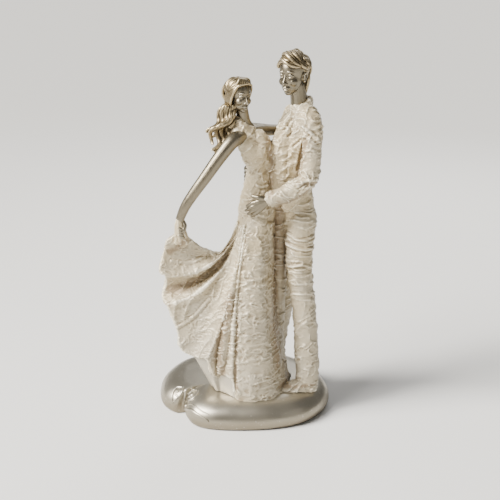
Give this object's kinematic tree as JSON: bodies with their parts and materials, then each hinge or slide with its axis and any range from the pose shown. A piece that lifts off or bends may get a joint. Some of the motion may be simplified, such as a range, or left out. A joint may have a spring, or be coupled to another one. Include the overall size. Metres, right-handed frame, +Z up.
{
  "type": "courting couple figurine",
  "caption": "Cast resin figurine of a courting couple dancing, the woman lifting one side of her long skirt, on a silver cloud-shaped plinth with scrolls.",
  "frame": {"origin": "centre of the plinth's flat underside", "axes": "+Z up, +X to the right as the picture shows the figurine, +Y away from the viewer"},
  "size_m": [0.1563, 0.1275, 0.319],
  "materials": {
    "base": "satin silver paint over cast resin, darker and browner down the sides",
    "couple": "pearl cream paint over crumpled cloth relief, with silver skin and antique gold hair"
  },
  "bodies": {
    "root": {"base": "base", "couple": "couple"}
  },
  "joints": []
}
